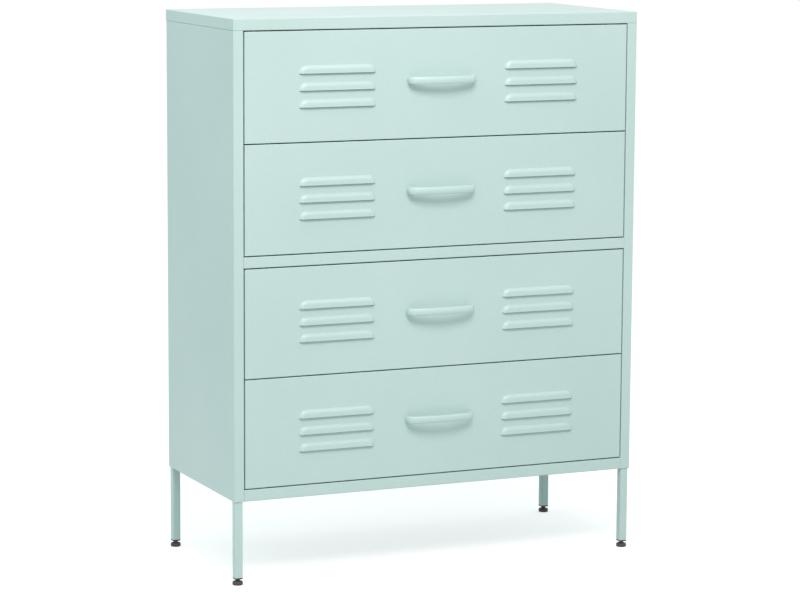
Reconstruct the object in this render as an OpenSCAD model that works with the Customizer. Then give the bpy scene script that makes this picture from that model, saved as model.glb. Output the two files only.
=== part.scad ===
// Steel chest of drawers: folded sheet cabinet on four tube legs, four louvred drawers on
// two-member ball-bearing slides. Origin at the middle of the footprint, on the floor.
// +X right, +Y back, +Z up, millimetres.

/* [Cabinet] */
// Width over the side panels
body_w = 800; // [500:1:1200]
// Depth of the top panel, front plane to back edge
body_d = 350; // [345:1:600]
// Thickness of the folded cabinet and drawer sheet
sheet = 0.7; // [0.5:0.1:1.2]
// Outer radius of a bend in that sheet
bend_r = 1.5; // [1.3:0.1:3]
// Height of the top panel's skirt, which is also the band above the upper drawer
top_band = 21; // [16:0.5:40]
// Height of the front rail under the lowest drawer
bottom_band = 21; // [16:0.5:40]
// Height of the rail between the two pairs of drawers
mid_band = 20; // [14:0.5:60]
// Width of the stile that each side panel shows at the front
stile_w = 19; // [19:0.5:40]
// Depth of the fold behind a stile
stile_return = 18; // [17.5:0.5:19]
// Running gap round every drawer front
gap = 2; // [1.5:0.1:4]
// Width of the lip folded in under the top panel's skirt
lip_w = 15; // [14:0.5:17]
// Distance of the back panel's seat from the top panel's rear edge
back_inset = 2.6; // [2.6:0.1:8]
// Depth of the mid rail, front to back
rail_d = 25; // [20:0.5:27]

/* [Drawers] */
// Height of one drawer front
front_h = 197; // [175:1:300]
// Depth of a drawer front's folded edge
front_d = 18; // [15:0.5:18]
// Outer radius of a drawer front's edges
front_r = 1.2; // [1.1:0.1:2]
// Width of the lips folded in behind a drawer front, left and right
front_lip = 26; // [25:0.5:40]
// Height of the lips folded in above and below
top_lip = 10; // [8:0.5:20]
// Height of a drawer tray's walls
tray_h = 140; // [125:1:150]
// Depth of a drawer tray, front to back
tray_d = 305; // [304:1:320]
// Height of a tray's floor above the lower edge of its front
tray_lift = 8; // [6:0.5:14]
// Width of the lip folded in along a tray's rim
rim_lip = 6; // [4:0.5:12]
// How far a drawer pulls out
travel = 210; // [100:5:210]

/* [Louvres] */
// Length of one louvre
louvre_w = 148; // [80:1:160]
// Height of one louvre
louvre_h = 14.5; // [12:0.5:20]
// How far a louvre stands out of the front
louvre_out = 4.5; // [3:0.1:5.5]
// Radius of the shoulder from a louvre's flat part back to the front
louvre_shoulder = 9; // [6:0.5:11]
// Distance from one louvre to the next
louvre_pitch = 30; // [26:0.5:36]
// Louvres in one group
louvre_count = 3; // [1:1:4]
// Distance from the middle of the front to the middle of a group
louvre_x = 202; // [180:1:240]
// Height of the sheared slot under a louvre's lip
louvre_slot = 0.5; // [0.2:0.1:1]

/* [Handles] */
// Distance between a handle's two screws
handle_centres = 128; // [96:1:160]
// Height of the handle's section
handle_h = 13.5; // [11:0.5:18]
// Height of the handle's middle above the middle of the drawer front
handle_lift = 6.5; // [-20:0.5:20]
// Length of the straight foot at each end
handle_foot = 5; // [2:0.5:8]
// Centre-line radius of the end curves
handle_end_r = 13; // [10:0.5:16]
// Half angle of the long front arc
handle_arc = 12; // [6:1:20]

/* [Slides] */
// Length of a slide member
slide_l = 300; // [300:1:303]
// Thickness of a closed slide, from post to tray
slide_t = 12.7; // [12.7:0.1:15]
// Thickness of the slide steel
rail_t = 1; // [0.8:0.1:1.2]
// Diameter of a bearing ball
ball_d = 4.8; // [4.4:0.1:5]
// Gap between a ball and each race
ball_fit = 0.12; // [0.08:0.01:0.2]
// Height from the slide's middle to the middle of a row of balls
ball_z = 14.2; // [13:0.1:16]
// Play of a ball cage against each stop at full travel
cage_play = 0.3; // [0.2:0.1:1]
// Balls in one row of a cage
balls_per_row = 3; // [2:1:4]
// Height of the slide's middle above the lower edge of the drawer front
slide_lift = 75; // [60:1:100]
// Half width of the stop folded across a rail's end
stop_w = 5; // [3:0.5:8]

/* [Legs and feet] */
// Outer width of the square leg tube
leg_w = 15; // [14:0.5:15]
// Wall of the leg tube
leg_wall = 1; // [0.8:0.1:1.2]
// Outer corner radius of the leg tube
leg_r = 2; // [1.8:0.1:3]
// Length of a leg tube below the cabinet
leg_l = 139.5; // [60:0.5:300]
// Distance from the cabinet's faces to a leg
leg_inset = 2; // [2:0.1:2.4]
// Thickness of the plug's flange under the tube
plug_t = 2.2; // [1.5:0.1:4]
// Diameter of the foot pad
pad_d = 19; // [16:0.5:30]
// Height of the foot pad
pad_h = 7; // [5:0.5:14]
// Bare stud between pad and plug
neck_h = 4.3; // [3:0.1:10]
// Diameter of the stud
stud_d = 8; // [5:0.1:9]
// How far a foot screws out
foot_travel = 12; // [4:1:14]
// Length of the stud that stays in the leg when its foot is screwed out
stud_grip = 16; // [12:0.5:48]

/* [Fasteners] */
// Shank radius of the small screws
screw_r = 1.95; // [1.5:0.05:2]
// Head radius of the small screws
head_r = 3.5; // [3:0.1:3.8]
// Head height of the small screws
head_h = 1.8; // [1.4:0.1:1.8]
// Head height of the flat screws inside the slides
flat_head_h = 0.9; // [0.7:0.1:0.9]
// Length of a cross recess from tip to tip
recess_w = 4.2; // [3:0.1:4.6]
// Width of a recess's arm
recess_t = 1.1; // [0.8:0.1:1.4]
// Depth of a recess
recess_h = 1.3; // [0.8:0.1:1.5]
// Length of the screws through folded edges
screw_l = 6; // [4:0.5:8]
// Length of the screws through the floor
floor_screw_l = 4; // [3:0.5:6]
// Length of the screws through the back panel and into the handles
long_screw_l = 8; // [6:0.5:9]
// Length of the screws from a tray into its front
front_screw_l = 5; // [4:0.5:6]
// Length of the screws from a tray into its slides
tray_screw_l = 3.2; // [2.5:0.1:4]
// Shank radius of the leg bolts
bolt_r = 4; // [3:0.1:4]
// Length of a leg bolt below its washer
bolt_l = 12; // [8:0.5:20]
// Width across the flats of a leg bolt's head
bolt_af = 13; // [10:0.5:13]
// Height of a leg bolt's head
bolt_head_h = 5.3; // [4:0.1:6]
// Radial clearance of a screw in its hole
fit = 0.05; // [0.02:0.01:0.1]

/* [Hidden] */
$fn = 48;
mint = "#c6ded8";
zinc = "#b9bcbd";
black = "#2a2c2d";
steel = "#d5d7d8";
dark = "#4a4340";

// How far a cutter reaches past what it cuts
over = 1;
// Play of a sheet between its neighbours
play = 0.4;

// Heights, from the floor up
tube_z = pad_h + neck_h + plug_t;
body_z = tube_z + leg_l;
pair_h = 2 * front_h + 3 * gap;
mid_z = body_z + bottom_band + pair_h;
skirt_z = mid_z + mid_band + pair_h;
total_h = skirt_z + top_band;

// Length of the stud inside the leg
stud_l = foot_travel + stud_grip;

// Lower edge of drawer front n: 1 is the uppermost, as in the names
function front_z(n) =
    (n <= 2 ? mid_z + mid_band : body_z + bottom_band) + gap + (n % 2 == 1 ? front_h + gap : 0);

// The handle's section: a convex outer arc, a flat inner arc and two small ends
end_r = 1.8;
end_z = handle_h / 2 - end_r;
outer_r = 13;
inner_r = 30;
outer_c = sqrt(pow(outer_r - end_r, 2) - pow(end_z, 2));
inner_c = sqrt(pow(inner_r - end_r, 2) - pow(end_z, 2));
section_out = outer_r - outer_c;
bow_turn = 90 - handle_arc;
bow_x = handle_centres / 2 - handle_end_r * (1 - cos(bow_turn));
bow_r = bow_x / sin(handle_arc);
bow_out = handle_foot + handle_end_r * sin(bow_turn);
handle_out = bow_out + bow_r * (1 - cos(handle_arc)) + section_out;

// Depths: the footprint's middle lies halfway between the handles and the top's rear edge
front_y = -(body_d - handle_out) / 2;
seat_y = front_y + body_d - back_inset;
tray_y = front_y + front_d;
rail_setback = 2;
slide_y = tray_y + rail_setback;

// Widths
side_x = body_w / 2;
stile_x = side_x - stile_w;
front_w = 2 * (stile_x - gap);
post_step = 1.8;
post_x = stile_x - post_step;
tray_x = post_x - slide_t;

// Posts that carry the slides
post_w = 30;
post_foot = 10;
post_front = 10;
post_rear = 20;
post_ys = [slide_y + post_front, slide_y + slide_l - post_rear - post_w];
post_z = body_z + 2 * sheet;
post_h = skirt_z - sheet - post_z;

// Ball races: the rows sit at ball_t from the post, ball_z above and below the middle
ball_t = 5.2;
race_r = ball_d / 2 + ball_fit;
cage_gap = 0.45;
cage_t = rail_t + flat_head_h + cage_gap;
cage_wall = 0.6;
cage_shelf = 3.4;
cage_fit = 0.1;
shelf_t = 1;
outer_curl = 60;
inner_curl = 30;
stop_t = 0.7;
slot_r = 3;
// At full travel a cage fills what the two members still share between their stops
cage_l = slide_l - travel - 2 * (stop_t + cage_play);
cage_y = slide_y + slide_l / 2 - cage_l / 2;
cage_ends = 0.4;
ball_pitch = cage_l / (balls_per_row + cage_ends);
slot_ys = [for (share = [0.35, 0.5, 0.65]) slide_y + share * slide_l];
tray_screw_ys = [for (share = [0.15, 0.85]) slide_y + share * slide_l];

// A louvre is flat up to louvre_flat and curves back to the front from there
louvre_flat = louvre_h - sqrt(pow(louvre_shoulder, 2) - pow(louvre_shoulder - louvre_out, 2));
louvre_end = louvre_w / 2 - louvre_h;
louvre_base = front_h / 2 - (louvre_pitch * (louvre_count - 1) + louvre_h) / 2;

// Legs, from their bolts at the top to the pads
leg_x = side_x - leg_inset - leg_w / 2;
leg_ys = [front_y + leg_inset + leg_w / 2, seat_y - leg_inset - leg_w / 2];
corners = [[-1, 0], [1, 0], [-1, 1], [1, 1]];
nut_t = 4;
washer_t = 1.4;
washer_r = bolt_af / sqrt(3);
bolt_top_r = 0.475 * bolt_af;
recess_floor = 0.3;
plug_l = 12;
plug_play = 0.1;
bolt_play = 0.2;
notch_gap = 2;
corner_r = sheet + 0.2;
stud_r = stud_d / 2;
boss_h = 0.8;
boss_r = stud_r + 1.8;
socket = pad_h * 0.6;

// Rows of screws
frame_ys = [for (share = [0.3, 0.5, 0.7]) front_y + share * body_d];
back_inset_z = 30;
back_zs = [for (i = [0:5]) body_z + back_inset_z + i * (skirt_z - body_z - 2 * back_inset_z) / 5];
rail_screw_zs = [body_z + bottom_band / 2, mid_z + mid_band / 2];
back_xs = [for (i = [-1.5, -0.5, 0.5, 1.5]) i * stile_x / 2];

DRAWERS = [1, 2, 3, 4];
FEET = ["front_left", "front_right", "rear_left", "rear_right"];

// ---- Sheet-metal helpers ----

// Corner points of a w x h rectangle round the origin, with corner radius r
function round_rect(w, h, r) = r <= 0
    ? [[-w / 2, -h / 2], [w / 2, -h / 2], [w / 2, h / 2], [-w / 2, h / 2]]
    : [for (q = [[1, 1, 0], [-1, 1, 90], [-1, -1, 180], [1, -1, 270]], i = [0:4])
        [q[0] * (w / 2 - r) + r * cos(q[2] + i * 22.5),
         q[1] * (h / 2 - r) + r * sin(q[2] + i * 22.5)]];

// Box from corner a to corner b whose edges along x, y and z have the radii in r
module soft_box(a, b, r) {
    s = b - a;
    translate((a + b) / 2)
        intersection() {
            rotate([90, 0, 90])
                linear_extrude(s[0], center = true) polygon(round_rect(s[1], s[2], r[0]));
            rotate([90, 0, 0])
                linear_extrude(s[1], center = true) polygon(round_rect(s[0], s[2], r[1]));
            linear_extrude(s[2], center = true) polygon(round_rect(s[0], s[1], r[2]));
        }
}

// Folded box of the given sheet: the outside is soft_box(a, b, r)
module folded_box(a, b, r, t = sheet) {
    wall = [t, t, t];
    inner = [for (k = r) max(k - t, 0)];
    difference() {
        soft_box(a, b, r);
        soft_box(a + wall, b - wall, inner);
    }
}

// Box from corner a to corner b
module block(a, b) {
    translate(a) cube(b - a);
}

// Hole or shank along X, Y or Z
module rod_x(x0, x1, y, z, r) {
    translate([x0, y, z]) rotate([0, 90, 0]) cylinder(h = x1 - x0, r = r);
}

module rod_y(x, y0, y1, z, r) {
    translate([x, y1, z]) rotate([90, 0, 0]) cylinder(h = y1 - y0, r = r);
}

module rod_z(x, y, z0, z1, r) {
    translate([x, y, z0]) cylinder(h = z1 - z0, r = r);
}

// Mirror image of the children for the right-hand side
module on_side(s) {
    mirror([s > 0 ? 1 : 0, 0, 0]) children();
}

// ---- Cabinet ----

module top_panel() {
    inner = lip_w + sheet;
    color(mint)
        difference() {
            folded_box([-side_x, front_y, skirt_z], [side_x, front_y + body_d, total_h],
                       [bend_r, bend_r, bend_r]);
            block([-side_x + inner, front_y + inner, skirt_z - over],
                  [side_x - inner, front_y + body_d - inner, skirt_z + bend_r + over]);
            for (s = [-1, 1], y = frame_ys)
                rod_z(s * leg_x, y, skirt_z - over, skirt_z + bend_r, screw_r + fit);
        }
}

// Left-hand side panel: wall, stile with its return, rear, top and bottom folds
module side_panel() {
    color(mint)
        difference() {
            folded_box([-side_x, front_y, body_z], [-stile_x, seat_y, skirt_z],
                       [corner_r, bend_r, bend_r]);
            block([-stile_x - bend_r - 0.1, front_y + stile_return, body_z - over],
                  [-stile_x + over, seat_y + over, skirt_z + over]);
            for (y = leg_ys)
                rod_z(-leg_x, y, body_z - over, body_z + bend_r, bolt_r + bolt_play);
            for (y = frame_ys, z = [body_z, skirt_z - bend_r])
                rod_z(-leg_x, y, z - over, z + bend_r + over, screw_r + fit);
            for (z = back_zs)
                rod_y(-leg_x, seat_y - bend_r, seat_y + over, z, screw_r + fit);
            for (z = rail_screw_zs)
                rod_x(-stile_x - bend_r, -stile_x + over, front_y + stile_return / 2, z,
                      screw_r + fit);
        }
}

// Floor: rests on the side panels' bottom folds and on the front rail's lower fold
module bottom_panel() {
    z0 = body_z + sheet;
    z1 = z0 + sheet;
    z2 = body_z + bottom_band;
    notch = stile_return + notch_gap;
    edge = stile_x - sheet - play;
    side = side_x - sheet - play;
    color(mint)
        difference() {
            union() {
                block([-edge, front_y + bend_r + play, z0], [edge, seat_y - bend_r, z1]);
                block([-side, front_y + notch, z0], [side, seat_y - notch, z1]);
                difference() {
                    soft_box([-edge, seat_y - notch, z0], [edge, seat_y, z2], [bend_r, 0, 0]);
                    soft_box([-edge - over, seat_y - 2 * notch, z1],
                             [edge + over, seat_y - sheet, 2 * z2 - z1], [bend_r - sheet, 0, 0]);
                }
            }
            for (s = [-1, 1], y = frame_ys)
                rod_z(s * leg_x, y, z0 - over, z1 + over, screw_r + fit);
            for (x = back_xs)
                rod_y(x, seat_y - bend_r, seat_y + over, z0 / 2 + z2 / 2, screw_r + fit);
        }
}

// Channel rail between the stiles, open at the back, with a tab folded in at each end
module front_rail(z, h, d) {
    color(mint)
        difference() {
            folded_box([-stile_x, front_y, z], [stile_x, front_y + d, z + h],
                       [bend_r, corner_r, corner_r]);
            block([-stile_x + sheet, front_y + d - sheet - over, z + sheet],
                  [stile_x - sheet, front_y + d + over, z + h - sheet]);
            for (s = [-1, 1])
                rod_x(s * stile_x - bend_r, s * stile_x + bend_r, front_y + stile_return / 2,
                      z + h / 2, screw_r + fit);
        }
}

module bottom_rail() {
    front_rail(body_z, bottom_band, stile_return);
}

module middle_rail() {
    front_rail(mid_z, mid_band, rail_d);
}

module back_panel() {
    edge = side_x - 2 * bend_r;
    color(mint)
        difference() {
            block([-edge, seat_y, body_z + bend_r], [edge, seat_y + sheet, skirt_z - play]);
            for (s = [-1, 1], z = back_zs)
                rod_y(s * leg_x, seat_y - over, seat_y + sheet + over, z, screw_r + fit);
            for (x = back_xs)
                rod_y(x, seat_y - over, seat_y + sheet + over, body_z + (bottom_band + sheet) / 2,
                      screw_r + fit);
        }
}

// Two upright hat sections on the left-hand wall; their webs carry the slides
module slide_posts() {
    wall_x = -side_x + sheet;
    color(zinc)
        for (y = post_ys)
            difference() {
                union() {
                    soft_box([wall_x, y, post_z], [-post_x, y + post_w, post_z + post_h],
                             [0, 0, bend_r]);
                    block([wall_x, y - post_foot, post_z],
                          [wall_x + sheet, y + post_w + post_foot, post_z + post_h]);
                }
                soft_box([2 * wall_x + post_x, y + sheet, post_z - over],
                         [-post_x - sheet, y + post_w - sheet, post_z + post_h + over],
                         [0, 0, bend_r - sheet]);
                for (n = DRAWERS)
                    rod_x(-post_x - bend_r, -post_x + over, y + post_w / 2,
                          front_z(n) + slide_lift, screw_r + fit);
            }
}

// ---- Legs and feet ----

// Tube with a threaded plate welded into its top
module leg(c) {
    x = c[0] * leg_x;
    y = leg_ys[c[1]];
    w = leg_w - 2 * leg_wall;
    color(mint)
        difference() {
            translate([x, y, tube_z])
                linear_extrude(leg_l) polygon(round_rect(leg_w, leg_w, leg_r));
            translate([x, y, tube_z - over])
                linear_extrude(leg_l - nut_t + over) polygon(round_rect(w, w, leg_r - leg_wall));
            rod_z(x, y, body_z - nut_t - over, body_z + over, bolt_r + fit);
        }
}

module leg_end_plugs() {
    w = leg_w - 2 * leg_wall - 2 * plug_play;
    color(black)
        for (c = corners)
            translate([c[0] * leg_x, leg_ys[c[1]], 0])
                difference() {
                    union() {
                        translate([0, 0, tube_z - plug_t])
                            linear_extrude(plug_t) polygon(round_rect(leg_w, leg_w, leg_r));
                        translate([0, 0, tube_z - plug_t / 2])
                            linear_extrude(plug_l + plug_t / 2)
                                polygon(round_rect(w, w, leg_r - leg_wall));
                    }
                    rod_z(0, 0, tube_z - plug_t - over, tube_z + plug_l + over, stud_r + fit);
                }
}

// Foot pad: a puck with rounded edges, a boss and a socket for the stud
module foot_pad(c) {
    r = pad_d / 2;
    flank = pad_h * 0.35;
    sole = pad_h * 0.18;
    module rounding(radius, z, side)
        translate([r - radius, z])
            intersection() {
                circle(r = radius);
                mirror([0, side]) square(radius);
            }
    color(black)
        translate([c[0] * leg_x, leg_ys[c[1]], 0])
            difference() {
                union() {
                    rotate_extrude()
                        union() {
                            square([r - flank, pad_h]);
                            square([r - sole, pad_h - flank]);
                            translate([0, sole]) square([r, pad_h - flank - sole]);
                            rounding(flank, pad_h - flank, 0);
                            rounding(sole, sole, 1);
                        }
                    translate([0, 0, pad_h - over])
                        cylinder(h = boss_h + over, r1 = boss_r + over / 2, r2 = boss_r - boss_h / 2);
                }
                translate([0, 0, pad_h - socket]) cylinder(h = 2 * socket, r = stud_r + fit);
            }
}

// Stud: its end stands in the pad, its thread turns in the plug
module foot_screw(c) {
    end_gap = 0.2;
    bottom = pad_h - socket + end_gap;
    color(dark)
        translate([c[0] * leg_x, leg_ys[c[1]], bottom])
            cylinder(h = pad_h + neck_h + stud_l - bottom, r = stud_r);
}

// Chamfered hexagon bolts and washers that hold the legs, put in from inside the cabinet
module leg_bolts() {
    z0 = body_z + sheet;
    color(zinc)
        for (c = corners)
            translate([c[0] * leg_x, leg_ys[c[1]], z0]) {
                difference() {
                    cylinder(h = washer_t, r = washer_r);
                    translate([0, 0, -over]) cylinder(h = washer_t + 2 * over, r = bolt_r + bolt_play);
                }
                translate([0, 0, washer_t])
                    intersection() {
                        cylinder(h = bolt_head_h, r = bolt_af / sqrt(3), $fn = 6);
                        cylinder(h = bolt_head_h, r1 = bolt_top_r + bolt_head_h * tan(60),
                                 r2 = bolt_top_r);
                    }
                translate([0, 0, -bolt_l]) cylinder(h = bolt_l + washer_t + over, r = bolt_r);
            }
}

// ---- Fasteners ----

// Pan-head screw with a cross recess along +Z, its head's seat at the origin, head below
module screw(l, h = head_h) {
    dome = 1.6 * head_r;
    depth = min(h - recess_floor, recess_h);
    difference() {
        union() {
            translate([0, 0, -h])
                rotate_extrude()
                    intersection() {
                        square([head_r, h]);
                        translate([0, dome]) circle(r = dome);
                    }
            translate([0, 0, -h / 2]) cylinder(h = l + h / 2, r = screw_r);
        }
        for (a = [0, 90])
            rotate([0, 0, a])
                block([-recess_w / 2, -recess_t / 2, -h - over],
                      [recess_w / 2, recess_t / 2, depth - h]);
    }
}

module frame_screws() {
    color(zinc)
        for (s = [-1, 1]) {
            for (y = frame_ys) {
                translate([s * leg_x, y, skirt_z - sheet]) screw(screw_l);
                translate([s * leg_x, y, body_z + 2 * sheet])
                    rotate([180, 0, 0]) screw(floor_screw_l);
            }
            for (z = rail_screw_zs)
                translate([s * (stile_x - sheet), front_y + stile_return / 2, z])
                    rotate([0, s * 90, 0]) screw(screw_l);
        }
}

module back_screws() {
    color(zinc) {
        for (s = [-1, 1], z = back_zs)
            translate([s * leg_x, seat_y + sheet, z]) rotate([90, 0, 0]) screw(long_screw_l);
        for (x = back_xs)
            translate([x, seat_y + sheet, body_z + (bottom_band + sheet) / 2])
                rotate([90, 0, 0]) screw(long_screw_l);
    }
}

// Flat-headed screws that hold the outer rails on the posts
module slide_screws() {
    color(zinc)
        for (s = [-1, 1], n = DRAWERS, y = post_ys)
            translate([s * (post_x - rail_t), y + post_w / 2, front_z(n) + slide_lift])
                rotate([0, s * 90, 0]) screw(screw_l, flat_head_h);
}

// ---- Slides, drawn for the left-hand side: t runs from the post to the tray ----

// Ring segment of slide steel round a ball, from angle a0 over the turn
module race(a0, turn) {
    far = 3 * race_r;
    mid = a0 + turn / 2;
    a1 = a0 + turn;
    translate([ball_t, ball_z])
        intersection() {
            difference() {
                circle(r = race_r + rail_t);
                circle(r = race_r);
            }
            polygon([[0, 0], far * [cos(a0), sin(a0)], far * [cos(mid), sin(mid)],
                     far * [cos(a1), sin(a1)]]);
        }
}

// Half of the outer rail's section: web, lip and a curl over the balls
module outer_half() {
    top = ball_z + race_r + rail_t;
    difference() {
        square([ball_t, top]);
        translate([rail_t, -over]) square([ball_t, top - rail_t + over]);
        difference() {
            translate([-rail_t, top - rail_t]) square(2 * rail_t);
            translate([rail_t, top - rail_t]) circle(r = rail_t);
        }
    }
    race(90 - outer_curl, outer_curl);
}

// Half of the inner rail's section: web, lip and a curl under the balls
module inner_half() {
    top = ball_z - race_r;
    difference() {
        translate([ball_t, 0]) square([slide_t - ball_t, top]);
        translate([ball_t - over, -over])
            square([slide_t - ball_t - rail_t + over, top - rail_t + over]);
    }
    race(-90 - inner_curl, inner_curl);
}

// Half of the cage's section: a web beside the outer rail and a shelf between the balls
module cage_half() {
    translate([cage_t, 0]) square([cage_wall, ball_z]);
    translate([cage_t, ball_z - shelf_t / 2]) square([ball_t + cage_shelf - cage_t, shelf_t]);
}

// Extrudes a section and its mirror image along a left-hand slide of drawer n
module along_slide(n, y, l) {
    translate([-post_x, y + l, front_z(n) + slide_lift])
        rotate([90, 0, 0])
            linear_extrude(l)
                union() {
                    children();
                    mirror([0, 1]) children();
                }
}

module outer_rails(n) {
    z = front_z(n) + slide_lift;
    color(zinc)
        for (s = [-1, 1])
            on_side(s)
                difference() {
                    union() {
                        along_slide(n, slide_y, slide_l) outer_half();
                        block([-post_x, slide_y, z - stop_w],
                              [-post_x + cage_t + cage_wall, slide_y + stop_t, z + stop_w]);
                    }
                    for (y = post_ys)
                        rod_x(-post_x - over, -post_x + rail_t + over, y + post_w / 2, z,
                              screw_r + fit);
                    for (y = slot_ys)
                        rod_x(-post_x - over, -post_x + rail_t + over, y, z, slot_r);
                }
}

module inner_rails(n) {
    z = front_z(n) + slide_lift;
    color(zinc)
        for (s = [-1, 1])
            on_side(s)
                difference() {
                    union() {
                        along_slide(n, slide_y, slide_l) inner_half();
                        block([-post_x + cage_t, slide_y + slide_l - stop_t, z - stop_w],
                              [-tray_x, slide_y + slide_l, z + stop_w]);
                    }
                    for (y = tray_screw_ys)
                        rod_x(-tray_x - rail_t - over, -tray_x + over, y, z, screw_r + fit);
                }
}

// Places children at each ball of a left-hand cage
module at_balls(n) {
    for (i = [0:balls_per_row - 1], up = [-1, 1])
        translate([-post_x + ball_t, cage_y + cage_l / 2 + (i - (balls_per_row - 1) / 2) * ball_pitch,
                   front_z(n) + slide_lift + up * ball_z])
            children();
}

module ball_cages(n) {
    color(black)
        for (s = [-1, 1])
            on_side(s)
                difference() {
                    along_slide(n, cage_y, cage_l) cage_half();
                    at_balls(n) sphere(r = ball_d / 2 + cage_fit);
                }
}

module balls(n) {
    color(steel)
        for (s = [-1, 1])
            on_side(s) at_balls(n) sphere(r = ball_d / 2);
}

// ---- Drawers ----

// Solid of one louvre, drawn in by the given skin, that reaches deep behind the face plane
module louvre_solid(skin, deep) {
    r = louvre_shoulder - skin;
    module section()
        union() {
            translate([0, -deep]) square([louvre_flat, deep + louvre_out - skin]);
            intersection() {
                translate([louvre_flat, louvre_out - louvre_shoulder]) circle(r = r, $fn = 96);
                translate([louvre_flat, -deep]) square([r, deep + louvre_out]);
            }
        }
    rotate([90, 0, 0])
        for (a = [0, 1])
            mirror([a, 0, 0])
                translate([louvre_end, 0, 0]) rotate_extrude(angle = 90) section();
    translate([-louvre_end, 0, 0])
        rotate([90, 0, 90])
            linear_extrude(2 * louvre_end) rotate(90) section();
}

module at_louvres(n) {
    for (s = [-1, 1], i = [0:louvre_count - 1])
        translate([s * louvre_x, front_y, front_z(n) + louvre_base + i * louvre_pitch])
            children();
}

// Drawer front: a folded pan with pressed louvres
module drawer_front(n) {
    z = front_z(n);
    w = front_w / 2;
    slot_x = louvre_end + 0.9 * louvre_h;
    deep = 1.6 * sheet;
    color(mint)
        difference() {
            union() {
                folded_box([-w, front_y, z], [w, tray_y, z + front_h],
                           [front_r, front_r, front_r]);
                at_louvres(n) louvre_solid(0, sheet / 2);
            }
            block([-w + front_lip, tray_y - sheet - over / 2, z + top_lip],
                  [w - front_lip, tray_y + over, z + front_h - top_lip]);
            at_louvres(n) {
                louvre_solid(sheet, deep);
                block([-slot_x, -sheet / 2, -louvre_slot], [slot_x, deep, 0.01]);
            }
            for (s = [-1, 1])
                rod_y(s * handle_centres / 2, front_y - over, front_y + sheet + over / 2,
                      handle_z(n), screw_r + fit);
            at_front_screws(n) rod_y(0, -sheet - over / 2, over, 0, screw_r + fit);
        }
}

function handle_z(n) = front_z(n) + front_h / 2 + handle_lift;

// Four screws that join the tray to the lips of its front
module at_front_screws(n) {
    for (s = [-1, 1], z = [0.2, 0.8])
        translate([s * (front_w / 2 - front_lip + 2 * head_r), tray_y,
                   front_z(n) + tray_lift + z * tray_h])
            children();
}

module drawer_tray(n) {
    z = front_z(n) + tray_lift;
    edge = rim_lip + sheet;
    color(mint)
        difference() {
            folded_box([-tray_x, tray_y, z], [tray_x, tray_y + tray_d, z + tray_h],
                       [bend_r, bend_r, bend_r]);
            block([-tray_x + edge, tray_y + edge, z + tray_h - sheet - over],
                  [tray_x - edge, tray_y + tray_d - edge, z + tray_h + over]);
            at_front_screws(n) rod_y(0, -over, sheet + over / 2, 0, screw_r + fit);
            for (s = [-1, 1], y = tray_screw_ys)
                rod_x(s * tray_x - over, s * tray_x + over, y, front_z(n) + slide_lift,
                      screw_r + fit);
        }
}

module drawer_screws(n) {
    color(zinc) {
        at_front_screws(n) translate([0, sheet, 0]) rotate([90, 0, 0]) screw(front_screw_l);
        for (s = [-1, 1]) {
            translate([s * handle_centres / 2, front_y + sheet, handle_z(n)])
                rotate([90, 0, 0]) screw(long_screw_l);
            for (y = tray_screw_ys)
                translate([s * (tray_x - sheet), y, front_z(n) + slide_lift])
                    rotate([0, s * 90, 0]) screw(tray_screw_l);
        }
    }
}

// Section of the handle, drawn in by the given skin: x outwards from its centre line, y up
module handle_section(skin = 0) {
    to_outer = [0, end_z] + (end_r - skin) / (outer_r - end_r) * [outer_c, end_z];
    to_inner = [0, end_z] + (end_r - skin) / (inner_r - end_r) * [-inner_c, end_z];
    side = [[outer_r, to_outer[1]], to_outer, [0, end_z], to_inner, [-outer_r, to_inner[1]]];
    intersection() {
        translate([-outer_c, 0]) circle(r = outer_r - skin);
        translate([inner_c, 0]) circle(r = inner_r - skin, $fn = 96);
        polygon([for (s = [1, -1], p = s > 0 ? side : [side[4], side[3], side[2], side[1], side[0]])
            [p[0], s * p[1]]]);
    }
    for (s = [-1, 1])
        translate([0, s * end_z]) circle(r = end_r - skin);
}

// Bow handle: two straight feet, two tight end curves and one long front arc, whose ends
// lap over the end curves by a hair
module handle(n) {
    skin = 0.03;
    lap = 0.3 / bow_r * 180 / PI;
    tip = 0.5;
    color(mint)
        translate([0, front_y, handle_z(n)])
            difference() {
                union() {
                    for (s = [-1, 1])
                        on_side(s) {
                            translate([-handle_centres / 2, 0, 0])
                                rotate([90, 0, 0])
                                    linear_extrude(handle_foot) mirror([1, 0]) handle_section(skin);
                            translate([-handle_centres / 2 + handle_end_r, -handle_foot, 0])
                                rotate_extrude(angle = bow_turn, start = 180)
                                    translate([handle_end_r, 0]) handle_section(skin);
                        }
                    translate([0, -bow_out + bow_r * cos(handle_arc), 0])
                        rotate_extrude(angle = 2 * (handle_arc + lap),
                                       start = 270 - handle_arc - lap, $fn = 720)
                            translate([bow_r, 0]) handle_section();
                }
                for (s = [-1, 1])
                    rod_y(s * handle_centres / 2, -long_screw_l - tip, over, 0, screw_r + fit);
            }
}

// ---- Assembly ----

top_panel();
side_panel();  // left_side_panel
on_side(1) side_panel();  // right_side_panel
bottom_panel();
bottom_rail();
middle_rail();
back_panel();
slide_posts();  // left_slide_posts
on_side(1) slide_posts();  // right_slide_posts
leg_end_plugs();
leg_bolts();
frame_screws();
back_screws();
slide_screws();
for (i = [0:3]) {
    leg(corners[i]);
    foot_pad(corners[i]);
    foot_screw(corners[i]);
}
for (n = DRAWERS) {
    drawer_front(n);
    drawer_tray(n);
    handle(n);
    drawer_screws(n);
    inner_rails(n);
    outer_rails(n);
    ball_cages(n);
    balls(n);
}
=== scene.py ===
"""Steel chest of drawers: finishes, threaded foot studs, stage and camera.

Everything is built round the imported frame, in metres: +X right, +Y back, +Z up, floor at zero.
"""

import math

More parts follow.
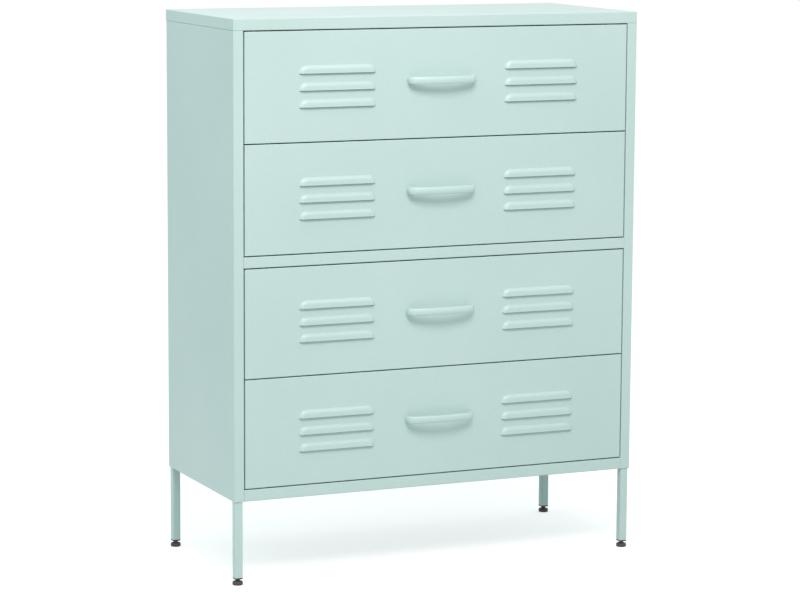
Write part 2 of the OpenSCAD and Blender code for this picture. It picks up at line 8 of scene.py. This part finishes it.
import bmesh
import bpy
from mathutils import Euler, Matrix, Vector


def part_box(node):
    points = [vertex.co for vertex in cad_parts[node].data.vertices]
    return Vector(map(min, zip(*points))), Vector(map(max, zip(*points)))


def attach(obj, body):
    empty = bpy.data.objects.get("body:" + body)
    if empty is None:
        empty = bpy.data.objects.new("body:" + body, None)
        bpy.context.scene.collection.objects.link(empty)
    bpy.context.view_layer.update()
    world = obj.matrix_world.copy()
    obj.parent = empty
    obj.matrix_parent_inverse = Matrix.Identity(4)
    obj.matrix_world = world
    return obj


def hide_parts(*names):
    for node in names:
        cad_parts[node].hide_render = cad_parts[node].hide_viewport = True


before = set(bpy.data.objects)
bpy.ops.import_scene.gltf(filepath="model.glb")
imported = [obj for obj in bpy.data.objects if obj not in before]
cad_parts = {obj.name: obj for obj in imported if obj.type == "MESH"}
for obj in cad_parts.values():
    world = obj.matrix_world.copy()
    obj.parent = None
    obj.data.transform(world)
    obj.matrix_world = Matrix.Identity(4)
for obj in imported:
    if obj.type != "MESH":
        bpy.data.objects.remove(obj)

bl_info = {
    "name": "Steel chest of drawers",
    "version": (1, 0, 0),
    "blender": (4, 5, 0),
    "location": "View3D > Sidebar > Chest",
    "description": "Finishes, foot studs, lamps and camera for a four-drawer sheet-steel chest",
    "category": "Object",
}

DRAWERS = (1, 2, 3, 4)
CORNERS = ("front_left", "front_right", "rear_left", "rear_right")
COATED = [
    "top_panel", "left_side_panel", "right_side_panel", "bottom_panel", "bottom_rail",
    "middle_rail", "back_panel",
    *(f"leg_{c}" for c in CORNERS),
    *(f"drawer_{n}_{part}" for n in DRAWERS for part in ("front", "tray", "handle")),
]
ZINC = [
    "left_slide_posts", "right_slide_posts", "leg_bolts", "frame_screws", "back_screws",
    "slide_screws",
    *(f"drawer_{n}_{part}" for n in DRAWERS for part in ("screws", "inner_rails", "outer_rails")),
]
PLASTIC = [
    "leg_end_plugs",
    *(f"drawer_{n}_ball_cages" for n in DRAWERS),
]
PADS = [f"foot_pad_{c}" for c in CORNERS]
BALLS = [f"drawer_{n}_balls" for n in DRAWERS]

# Colours that a finish leans towards, scene-linear
# Pale mint that the coat leans to along edges: partly a thinner film, partly a painted highlight
THIN_COAT_AND_HIGHLIGHT = (0.86, 0.93, 0.91, 1)
PASSIVATION = (0.62, 0.60, 0.52, 1)
BARE_ZINC = (0.85, 0.86, 0.87, 1)
BALL_STEEL = (0.72, 0.73, 0.75, 1)
CREST_STEEL = (0.42, 0.39, 0.37, 1)
WHITE = (1, 1, 1, 1)

# How much of that colour shows where it is strongest
PASSIVATION_SHARE = 0.35
ZINC_RUB = 0.5
PLASTIC_RUB = 0.3
STUD_RUB = 0.35

# Rubbed plastic is its own colour, multiplied and lifted
RUB_GAIN = 2.2
RUB_LIFT = 0.02

# How far a roughness drifts below and above its mean
COAT_DRIFT = 0.06
ZINC_DRIFT = 0.12
PLASTIC_DRIFT = (0.08, 0.1)
# The balls' drift is a share of their roughness, and the studs have these two limits
BALL_DRIFT = (0.6, 1.6)
STUD_ROUGHNESS = (0.3, 0.55)

# Painted shade in the hollows and painted highlight on the crests of the coat's orange peel: the
# coat's brightness at each
PEEL_PAINTED_SHADING = (0.94, 1.03)
# Waves of the coat's peel to one of the fine grain on them
PEEL_TO_GRAIN = 5
# Depth of the streaks in the zinc and of the grain of the plastics
STREAK_DEPTH = 0.00001
GRAIN_DEPTH = 0.00003
# Streaks in a metre across, along and up the drawn steel
STREAKS = (900.0, 25.0, 900.0)
# Stretch of the clouds, so that they reach from the one colour to the other
CLOUD_STRETCH = (-0.5, 1.5)
# Contrast of the edge mask, and waves in a metre of the noise that breaks it up
EDGE_CONTRAST = 6.0
EDGE_WAVES = 120.0

# Facets round a stud, and the distance within which its vertices merge
STUD_FACETS = 24
MERGE = 1e-7

# Softboxes: name, place, target, and width and height
SOFTBOXES = (
    ("key", (-0.5, -2.1, 2.6), (0, 0, 0.7), (1.6, 1.0)),
    ("side", (-2.2, -0.4, 2.6), (-0.4, 0, 0.8), (1.8, 1.8)),
    ("top", (-0.2, 0.2, 3.2), (0, 0, 1.0), (2.0, 2.0)),
)
FLOOR_HALF = 12.0
FLOOR_ROUGHNESS = 0.9
# Width of the camera's sensor in millimetres
SENSOR = 36


# ---- Settings ----


def colour(name, description, default):
    """A colour setting in scene-linear values."""
    return bpy.props.FloatVectorProperty(
        name=name, description=description, default=default, size=3, min=0, max=1, subtype="COLOR"
    )


def share(name, description, default):
    """A setting from nought to one."""
    return bpy.props.FloatProperty(
        name=name, description=description, default=default, min=0, max=1, subtype="FACTOR"
    )


def length(name, description, default):
    """A length setting in metres."""
    return bpy.props.FloatProperty(
        name=name, description=description, default=default, min=0, precision=5,
        subtype="DISTANCE", unit="LENGTH",
    )


def strength(name, description, default):
    """A plain strength from nought up."""
    return bpy.props.FloatProperty(name=name, description=description, default=default, min=0)


def power(name, description, default):
    """The power of a lamp in watts."""
    return bpy.props.FloatProperty(
        name=name, description=description, default=default, min=0, unit="POWER"
    )


class ChestFinish(bpy.types.PropertyGroup):
    """Colours and surface grain of the chest's finishes."""

    coat_colour: colour("Coat colour", "Colour of the powder coat", (0.534, 0.69, 0.658))
    coat_roughness: share("Coat roughness", "Mean roughness of the powder coat", 0.34)
    coat_mottle: share("Coat mottle", "How much the coat's colour drifts over a panel", 0.06)
    peel_size: length("Orange peel size", "Width of one wave of the coat's orange peel", 0.0026)
    peel_depth: length("Orange peel depth", "Height of the coat's orange peel", 0.00013)
    # Along folds and edges the coat is paler, partly from a thinner film and partly as a painted
    # highlight; edge_width also sets how wide the normals are rounded there
    edge_width: length("Edge width", "Width of the thin coat along folds and edges", 0.0009)
    edge_thin_coat_and_highlight: share("Edge fade", "How much paler the coat is along folds and edges", 0.12)
    zinc_colour: colour("Zinc colour", "Colour of the zinc plate", (0.60, 0.62, 0.64))
    zinc_roughness: share("Zinc roughness", "Mean roughness of the zinc plate", 0.34)
    plastic_colour: colour("Plastic colour", "Colour of plugs and ball cages", (0.02, 0.023, 0.023))
    pad_colour: colour("Pad colour", "Colour of the foot pads", (0.07, 0.058, 0.052))
    plastic_roughness: share("Plastic roughness", "Mean roughness of the plastics", 0.5)
    ball_roughness: share("Ball roughness", "Mean roughness of the polished balls", 0.08)
    stud_colour: colour("Stud colour", "Colour of the blackened foot studs", (0.14, 0.11, 0.1))
    thread_pitch: length("Thread pitch", "Pitch of the foot studs' thread", 0.00125)
    thread_depth: length("Thread depth", "Depth of that thread", 0.0007)


class ChestStage(bpy.types.PropertyGroup):
    """Camera, lamps and floor."""

    camera_place: bpy.props.FloatVectorProperty(
        name="Camera place", description="Where the camera stands", size=3,
        default=(-2.246, -5.003, 1.294), subtype="TRANSLATION", unit="LENGTH",
    )
    camera_turn: bpy.props.FloatVectorProperty(
        name="Camera turn", description="Camera rotation about X, Y and Z", size=3,
        default=tuple(math.radians(a) for a in (81.503, -0.329, -24.073)), subtype="EULER",
    )
    lens: bpy.props.FloatProperty(
        name="Lens", description=f"Focal length on a {SENSOR} mm wide sensor", default=133.1,
        min=1, unit="CAMERA",
    )
    floor_colour: colour("Floor colour", "Colour of the studio floor", (0.6, 0.61, 0.61))
    floor_glow: strength("Floor glow", "How much whiter the floor looks than it is lit", 0.6)
    ambient: strength("Ambient", "Strength of the even light from all round", 0.681)
    ambient_tint: colour("Ambient tint", "Colour of the even light", (0.854, 0.971, 1.0))
    key_power: power("Key power", "Power of the softbox above the front", 53.2)
    key_tint: colour("Key tint", "Colour of the softbox above the front", (1.0, 0.893, 0.866))
    side_power: power("Side power", "Power of the softbox at the left", 14.4)
    side_tint: colour("Side tint", "Colour of the softbox at the left", (0.85, 1.0, 0.97))
    top_power: power("Top power", "Power of the softbox overhead", 3.24)
    top_tint: colour("Top tint", "Colour of the softbox overhead", (1.0, 0.893, 0.866))


# ---- Shader nodes ----


def add(tree, kind, inputs=None, **settings):
    """Adds a node. inputs maps a socket's name or number to a value or another node's output."""
    made = tree.nodes.new(kind)
    for name, value in settings.items():
        setattr(made, name, value)
    feed(tree, made, inputs or {})
    return made


def feed(tree, node, inputs):
    """Sets or links a node's sockets."""
    for key, value in inputs.items():
        if isinstance(value, bpy.types.NodeSocket):
            tree.links.new(value, node.inputs[key])
        else:
            node.inputs[key].default_value = value


def math_node(tree, operation, first, second):
    """Output of a Math node."""
    return add(tree, "ShaderNodeMath", {0: first, 1: second}, operation=operation).outputs[0]


def spread(tree, value, low, high):
    """Value from nought to one brought into the range low to high."""
    limits = {"Value": value, "To Min": low, "To Max": high}
    return add(tree, "ShaderNodeMapRange", limits).outputs[0]


def mix_colours(tree, factor, first, second):
    """Output of a colour Mix node. Its colour sockets are numbers 6 and 7."""
    inputs = {"Factor": factor, 6: first, 7: second}
    return add(tree, "ShaderNodeMix", inputs, data_type="RGBA").outputs[2]


def lean(tree, mask, most, first, second):
    """The first colour, leaning to the second by the mask times most."""
    return mix_colours(tree, math_node(tree, "MULTIPLY", mask, most), first, second)


def noise(tree, place, **inputs):
    """Noise from nought to one at the given place."""
    return add(tree, "ShaderNodeTexNoise", {"Vector": place, **inputs}).outputs["Fac"]


def relief(tree, depth, height, normal):
    """The normal, bumped by the height."""
    inputs = {"Strength": 1.0, "Distance": depth, "Height": height, "Normal": normal}
    return add(tree, "ShaderNodeBump", inputs).outputs[0]


def own_place(tree):
    """Position on the object, in its own axes."""
    return add(tree, "ShaderNodeTexCoord").outputs["Object"]


def start_group(name, inputs, outputs):
    """An empty shader node group with the named sockets, and its input node's outputs."""
    tree = bpy.data.node_groups.new(name, "ShaderNodeTree")
    for socket, kind, default in inputs:
        made = tree.interface.new_socket(socket, in_out="INPUT", socket_type=f"NodeSocket{kind}")
        made.default_value = default
    for socket, kind in outputs:
        tree.interface.new_socket(socket, in_out="OUTPUT", socket_type=f"NodeSocket{kind}")
    return tree, tree.nodes.new("NodeGroupInput").outputs


def mottle_group():
    """Slow drift of colour and a mask of the same clouds, for any finish."""
    tree, given = start_group(
        "Mottle",
        [("Colour", "Color", (0.5, 0.5, 0.5, 1)), ("Depth", "Float", 0.05), ("Size", "Float", 0.2)],
        [("Colour", "Color"), ("Mask", "Float")],
    )
    place = own_place(tree)
    scale = math_node(tree, "DIVIDE", 1.0, given["Size"])
    clouds = noise(tree, place, Scale=scale, Detail=5.0, Roughness=0.6)
    darker = add(
        tree, "ShaderNodeHueSaturation",
        {"Color": given["Colour"],
         "Value": math_node(tree, "SUBTRACT", 1.0, given["Depth"]),
         "Saturation": math_node(tree, "ADD", 1.0, given["Depth"])},
    ).outputs[0]
    mixed = mix_colours(tree, spread(tree, clouds, *CLOUD_STRETCH), given["Colour"], darker)
    add(tree, "NodeGroupOutput", {"Colour": mixed, "Mask": clouds})
    return tree


def grain_group():
    """Height of a fine skin: broad waves with a smaller share of sharp grain on them."""
    tree, given = start_group(
        "Grain",
        [("Wave size", "Float", 0.002), ("Grain size", "Float", 0.0005),
         ("Grain share", "Float", 0.25)],
        [("Height", "Float")],
    )
    place = own_place(tree)
    waves, grain = (
        noise(tree, place, Scale=math_node(tree, "DIVIDE", 1.0, given[size]), Detail=2.0)
        for size in ("Wave size", "Grain size")
    )
    sharp = math_node(tree, "MULTIPLY", grain, given["Grain share"])
    add(tree, "NodeGroupOutput", {"Height": math_node(tree, "ADD", waves, sharp)})
    return tree


def edge_group():
    """Mask of outer folds and edges within the given width, broken up by noise."""
    tree, given = start_group(
        "Edge",
        [("Width", "Float", 0.001), ("Break-up", "Float", 0.3)],
        [("Mask", "Float"), ("Normal", "Vector")],
    )
    rounded = add(tree, "ShaderNodeBevel", {"Radius": given["Width"]}, samples=6).outputs[0]
    flat = add(tree, "ShaderNodeNewGeometry").outputs["Normal"]
    meeting = add(
        tree, "ShaderNodeVectorMath", {0: rounded, 1: flat}, operation="DOT_PRODUCT"
    ).outputs["Value"]
    turn = math_node(tree, "SUBTRACT", 1.0, meeting)
    specks = noise(tree, own_place(tree), Scale=EDGE_WAVES, Detail=4.0)
    worn = math_node(
        tree, "SUBTRACT", math_node(tree, "MULTIPLY", turn, EDGE_CONTRAST),
        math_node(tree, "MULTIPLY", specks, given["Break-up"]),
    )
    mask = add(tree, "ShaderNodeClamp", {"Value": worn}).outputs[0]
    add(tree, "NodeGroupOutput", {"Mask": mask, "Normal": rounded})
    return tree


GROUPS = {"Mottle": mottle_group, "Grain": grain_group, "Edge": edge_group}


def place_group(tree, name, inputs):
    """Outputs of a node group, placed with its own values. The group is built at its first use."""
    group = bpy.data.node_groups.get(name) or GROUPS[name]()
    return add(tree, "ShaderNodeGroup", inputs, node_tree=group).outputs


# ---- Materials ----


def start_material(name):
    """A new material, its node tree and its Principled shader."""
    material = bpy.data.materials.new(name)
    material.use_nodes = True
    tree = material.node_tree
    shader = next(n for n in tree.nodes if n.type == "BSDF_PRINCIPLED")
    return material, tree, shader


def powder_coat(finish):
    """Satin powder coat: orange peel with painted shade in its hollows and painted highlight on its
    crests, slow drift of tone, and edges paler from a thinner film and a painted highlight.
    """
    material, tree, shader = start_material("mint_powder_coat")
    mottle = place_group(
        tree, "Mottle",
        {"Colour": (*finish.coat_colour, 1), "Depth": finish.coat_mottle, "Size": 0.35},
    )
    edge = place_group(tree, "Edge", {"Width": finish.edge_width, "Break-up": 0.15})
    # Painted highlight: the coat leans paler along folds and edges, partly also for a thinner film
    # there
    pale = lean(tree, edge["Mask"], finish.edge_thin_coat_and_highlight, mottle["Colour"], THIN_COAT_AND_HIGHLIGHT)
    grain = place_group(
        tree, "Grain",
        {"Wave size": finish.peel_size, "Grain size": finish.peel_size / PEEL_TO_GRAIN,
         "Grain share": 0.3},
    )
    # Painted shade and highlight: the coat is a touch darker in the hollows of the peel and a touch
    # lighter on its crests
    peel_painted_shading = add(
        tree, "ShaderNodeHueSaturation",
        {"Color": pale, "Value": spread(tree, grain["Height"], *PEEL_PAINTED_SHADING)},
    ).outputs[0]
    low, high = finish.coat_roughness - COAT_DRIFT, finish.coat_roughness + COAT_DRIFT
    feed(tree, shader, {
        "Base Color": peel_painted_shading,
        "Roughness": spread(tree, mottle["Mask"], low, high),
        "Normal": relief(tree, finish.peel_depth, grain["Height"], edge["Normal"]),
    })
    return material


def zinc_plate(finish):
    """Bright zinc plate: drawn streaks along the steel and a faint passivation tint."""
    material, tree, shader = start_material("zinc_plate")
    drawn = add(
        tree, "ShaderNodeMapping", {"Vector": own_place(tree), "Scale": STREAKS}
    ).outputs[0]
    streaks = noise(tree, drawn, Scale=1.0, Detail=3.0)
    mottle = place_group(
        tree, "Mottle", {"Colour": (*finish.zinc_colour, 1), "Depth": 0.25, "Size": 0.03}
    )
    tinted = lean(tree, mottle["Mask"], PASSIVATION_SHARE, mottle["Colour"], PASSIVATION)
    edge = place_group(tree, "Edge", {"Width": 0.0003, "Break-up": 0.3})
    low, high = finish.zinc_roughness - ZINC_DRIFT, finish.zinc_roughness + ZINC_DRIFT
    feed(tree, shader, {
        "Base Color": lean(tree, edge["Mask"], ZINC_RUB, tinted, BARE_ZINC),
        "Metallic": 1.0,
        "Roughness": spread(tree, streaks, low, high),
        "Normal": relief(tree, STREAK_DEPTH, streaks, edge["Normal"]),
    })
    return material


def moulded_plastic(name, base, finish):
    """Moulded plastic with a fine spark-eroded grain and slightly polished edges."""
    material, tree, shader = start_material(name)
    mottle = place_group(tree, "Mottle", {"Colour": (*base, 1), "Depth": 0.25, "Size": 0.01})
    edge = place_group(tree, "Edge", {"Width": 0.0004, "Break-up": 0.3})
    polished = (*(min(c * RUB_GAIN + RUB_LIFT, 1) for c in base), 1)
    grain = place_group(
        tree, "Grain", {"Wave size": 0.0009, "Grain size": 0.0003, "Grain share": 0.6}
    )
    mean = finish.plastic_roughness
    low, high = mean - PLASTIC_DRIFT[0], mean + PLASTIC_DRIFT[1]
    feed(tree, shader, {
        "Base Color": lean(tree, edge["Mask"], PLASTIC_RUB, mottle["Colour"], polished),
        "Roughness": spread(tree, mottle["Mask"], low, high),
        "Normal": relief(tree, GRAIN_DEPTH, grain["Height"], edge["Normal"]),
    })
    return material


def bearing_steel(finish):
    """Polished bearing steel with a faint drift of tone and gloss."""
    material, tree, shader = start_material("bearing_steel")
    mottle = place_group(tree, "Mottle", {"Colour": BALL_STEEL, "Depth": 0.08, "Size": 0.002})
    low, high = (finish.ball_roughness * drift for drift in BALL_DRIFT)
    feed(tree, shader, {
        "Base Color": mottle["Colour"],
        "Metallic": 1.0,
        "Roughness": spread(tree, mottle["Mask"], low, high),
    })
    return material


def blackened_steel(finish):
    """Blackened screw steel: oily dark film, rubbed brighter on the thread's crests."""
    material, tree, shader = start_material("blackened_steel")
    mottle = place_group(
        tree, "Mottle", {"Colour": (*finish.stud_colour, 1), "Depth": 0.3, "Size": 0.004}
    )
    edge = place_group(tree, "Edge", {"Width": 0.0002, "Break-up": 0.4})
    feed(tree, shader, {
        "Base Color": lean(tree, edge["Mask"], STUD_RUB, mottle["Colour"], CREST_STEEL),
        "Metallic": 1.0,
        "Roughness": spread(tree, mottle["Mask"], *STUD_ROUGHNESS),
    })
    return material


def finish_nodes(names, material):
    """Gives each CAD node the material."""
    for name in names:
        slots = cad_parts[name].data.materials
        slots.clear()
        slots.append(material)


# ---- Threaded studs ----


def threaded_rod(name, low, high, crest, pitch, depth):
    """A rod up the Z axis from low to high with a helical thread, as a mesh."""
    profile = (crest, crest, crest - depth, crest - depth)
    turn = len(profile)
    rows = turn * (int((high - low) / pitch) + 2) + 1
    made = bmesh.new()

    def vertex(row, column):
        z = low + pitch * (row / turn + column / STUD_FACETS - 1)
        radius, angle = profile[row % turn], math.tau * column / STUD_FACETS
        return made.verts.new(
            (radius * math.cos(angle), radius * math.sin(angle), min(max(z, low), high))
        )

    grid = [[vertex(row, column) for column in range(STUD_FACETS)] for row in range(rows)]
    # After one turn a row has climbed by one pitch and meets the row of the next turn
    for ring in range(rows - turn):
        grid[ring].append(grid[ring + turn][0])
    for ring in range(rows - turn - 1):
        for column in range(STUD_FACETS):
            corners = (
                grid[ring][column], grid[ring][column + 1],
                grid[ring + 1][column + 1], grid[ring + 1][column],
            )
            heights = {corner.co.z for corner in corners}
            # Faces that lie flat in one of the rod's ends are left to the end's own face
            if heights != {low} and heights != {high}:
                made.faces.new(corners)
    bmesh.ops.delete(made, geom=[v for v in made.verts if not v.link_faces], context="VERTS")
    bmesh.ops.remove_doubles(made, verts=made.verts, dist=MERGE)
    bmesh.ops.holes_fill(made, edges=[e for e in made.edges if e.is_boundary])
    bmesh.ops.recalc_face_normals(made, faces=made.faces)
    mesh = bpy.data.meshes.new(name)
    made.to_mesh(mesh)
    made.free()
    return mesh


# ---- Stage ----


def softbox(scene, name, place, target, size, watts, tint):
    """Adds a rectangular area lamp that faces the target."""
    lamp = bpy.data.lights.new(name, "AREA")
    lamp.shape = "RECTANGLE"
    lamp.size, lamp.size_y = size
    lamp.energy = watts
    lamp.color = tint
    made = bpy.data.objects.new(name, lamp)
    made.location = place
    made.rotation_euler = (Vector(target) - Vector(place)).to_track_quat("-Z", "Y").to_euler()
    scene.collection.objects.link(made)


def seen_rays(tree):
    """One for rays from the camera and for those seen in gloss or glass, else nought."""
    path = add(tree, "ShaderNodeLightPath").outputs
    seen = math_node(tree, "MAXIMUM", path["Is Camera Ray"], path["Is Transmission Ray"])
    return math_node(tree, "MAXIMUM", seen, path["Is Glossy Ray"])


# ---- Operators ----


class CHEST_OT_coat(bpy.types.Operator):
    """Powder-coats the cabinet, drawers, handles and legs"""

    bl_idname = "chest.coat"
    bl_label = "Powder coat"

    def execute(self, context):
        finish_nodes(COATED, powder_coat(context.scene.chest_finish))
        return {"FINISHED"}


class CHEST_OT_metal(bpy.types.Operator):
    """Plates the slides, posts and screws and polishes the balls"""

    bl_idname = "chest.metal"
    bl_label = "Zinc and steel"

    def execute(self, context):
        finish = context.scene.chest_finish
        finish_nodes(ZINC, zinc_plate(finish))
        finish_nodes(BALLS, bearing_steel(finish))
        return {"FINISHED"}


class CHEST_OT_plastic(bpy.types.Operator):
    """Finishes plugs, ball cages and foot pads"""

    bl_idname = "chest.plastic"
    bl_label = "Plastics"

    def execute(self, context):
        finish = context.scene.chest_finish
        finish_nodes(PLASTIC, moulded_plastic("black_plastic", finish.plastic_colour, finish))
        finish_nodes(PADS, moulded_plastic("pad_plastic", finish.pad_colour, finish))
        return {"FINISHED"}


class CHEST_OT_studs(bpy.types.Operator):
    """Cuts the thread on the four foot studs"""

    bl_idname = "chest.studs"
    bl_label = "Foot studs"

    def execute(self, context):
        finish = context.scene.chest_finish
        material = blackened_steel(finish)
        for corner in CORNERS:
            low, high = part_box(f"foot_screw_{corner}")
            mesh = threaded_rod(
                f"stud_{corner}", low[2], high[2], (high[0] - low[0]) / 2,
                finish.thread_pitch, finish.thread_depth,
            )
            mesh.materials.append(material)
            stud = bpy.data.objects.new(mesh.name, mesh)
            stud.location = ((low[0] + high[0]) / 2, (low[1] + high[1]) / 2, 0)
            context.scene.collection.objects.link(stud)
            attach(stud, f"foot_{corner}")
            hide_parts(f"foot_screw_{corner}")
        return {"FINISHED"}


class CHEST_OT_stage(bpy.types.Operator):
    """Sets the floor, the white surroundings, the lamps and the camera"""

    bl_idname = "chest.stage"
    bl_label = "Stage"

    def execute(self, context):
        scene, stage = context.scene, context.scene.chest_stage
        self.floor(scene, stage)
        self.surroundings(scene, stage)
        for name, place, target, size in SOFTBOXES:
            watts, tint = getattr(stage, f"{name}_power"), getattr(stage, f"{name}_tint")
            softbox(scene, f"{name}_softbox", place, target, size, watts, tint)
        self.camera(scene, stage)
        scene.view_settings.view_transform = "Standard"
        return {"FINISHED"}

    def floor(self, scene, stage):
        mesh = bpy.data.meshes.new("floor")
        low, high = -FLOOR_HALF, FLOOR_HALF
        corners = [(low, low, 0), (high, low, 0), (high, high, 0), (low, high, 0)]
        mesh.from_pydata(corners, [], [(0, 1, 2, 3)])
        floor = bpy.data.objects.new("floor", mesh)
        scene.collection.objects.link(floor)
        material, tree, shader = start_material("studio_floor")
        feed(tree, shader, {
            "Base Color": (*stage.floor_colour, 1),
            "Roughness": FLOOR_ROUGHNESS,
            "Emission Color": WHITE,
            "Emission Strength": math_node(tree, "MULTIPLY", seen_rays(tree), stage.floor_glow),
        })
        mesh.materials.append(material)

    def surroundings(self, scene, stage):
        world = bpy.data.worlds.new("white_studio")
        scene.world = world
        world.use_nodes = True
        tree = world.node_tree
        tree.nodes.clear()
        ambient = add(tree, "ShaderNodeBackground",
                      {"Color": (*stage.ambient_tint, 1), "Strength": stage.ambient})
        white = add(tree, "ShaderNodeBackground", {"Color": WHITE, "Strength": 1.0})
        mix = add(tree, "ShaderNodeMixShader",
                  {0: seen_rays(tree), 1: ambient.outputs[0], 2: white.outputs[0]})
        add(tree, "ShaderNodeOutputWorld", {"Surface": mix.outputs[0]})

    def camera(self, scene, stage):
        data = bpy.data.cameras.new("camera")
        data.sensor_width = SENSOR
        data.lens = stage.lens
        camera = bpy.data.objects.new("camera", data)
        camera.location = stage.camera_place
        camera.rotation_euler = Euler(stage.camera_turn)
        scene.collection.objects.link(camera)
        scene.camera = camera


class CHEST_PT_panel(bpy.types.Panel):
    """Lists the chest's steps and settings"""

    bl_idname = "CHEST_PT_panel"
    bl_label = "Chest"
    bl_space_type = "VIEW_3D"
    bl_region_type = "UI"
    bl_category = "Chest"

    def draw(self, context):
        for step in STEPS:
            self.layout.operator(step.bl_idname)
        for group in (context.scene.chest_finish, context.scene.chest_stage):
            for name in group.bl_rna.properties.keys():
                if name not in ("rna_type", "name"):
                    self.layout.prop(group, name)


STEPS = (CHEST_OT_coat, CHEST_OT_metal, CHEST_OT_plastic, CHEST_OT_studs, CHEST_OT_stage)
CLASSES = (ChestFinish, ChestStage, *STEPS, CHEST_PT_panel)


def register():
    """Registers the classes and puts their settings on the scene."""
    for kind in CLASSES:
        bpy.utils.register_class(kind)
    bpy.types.Scene.chest_finish = bpy.props.PointerProperty(type=ChestFinish)
    bpy.types.Scene.chest_stage = bpy.props.PointerProperty(type=ChestStage)


def unregister():
    """Takes the settings and the classes away again."""
    del bpy.types.Scene.chest_stage
    del bpy.types.Scene.chest_finish
    for kind in reversed(CLASSES):
        bpy.utils.unregister_class(kind)


def run_step(step):
    """Calls an operator by its bl_idname."""
    family, name = step.bl_idname.split(".")
    getattr(getattr(bpy.ops, family), name)()


def main():
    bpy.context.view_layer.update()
    register()
    for step in STEPS:
        run_step(step)


if __name__ == "__main__":
    main()
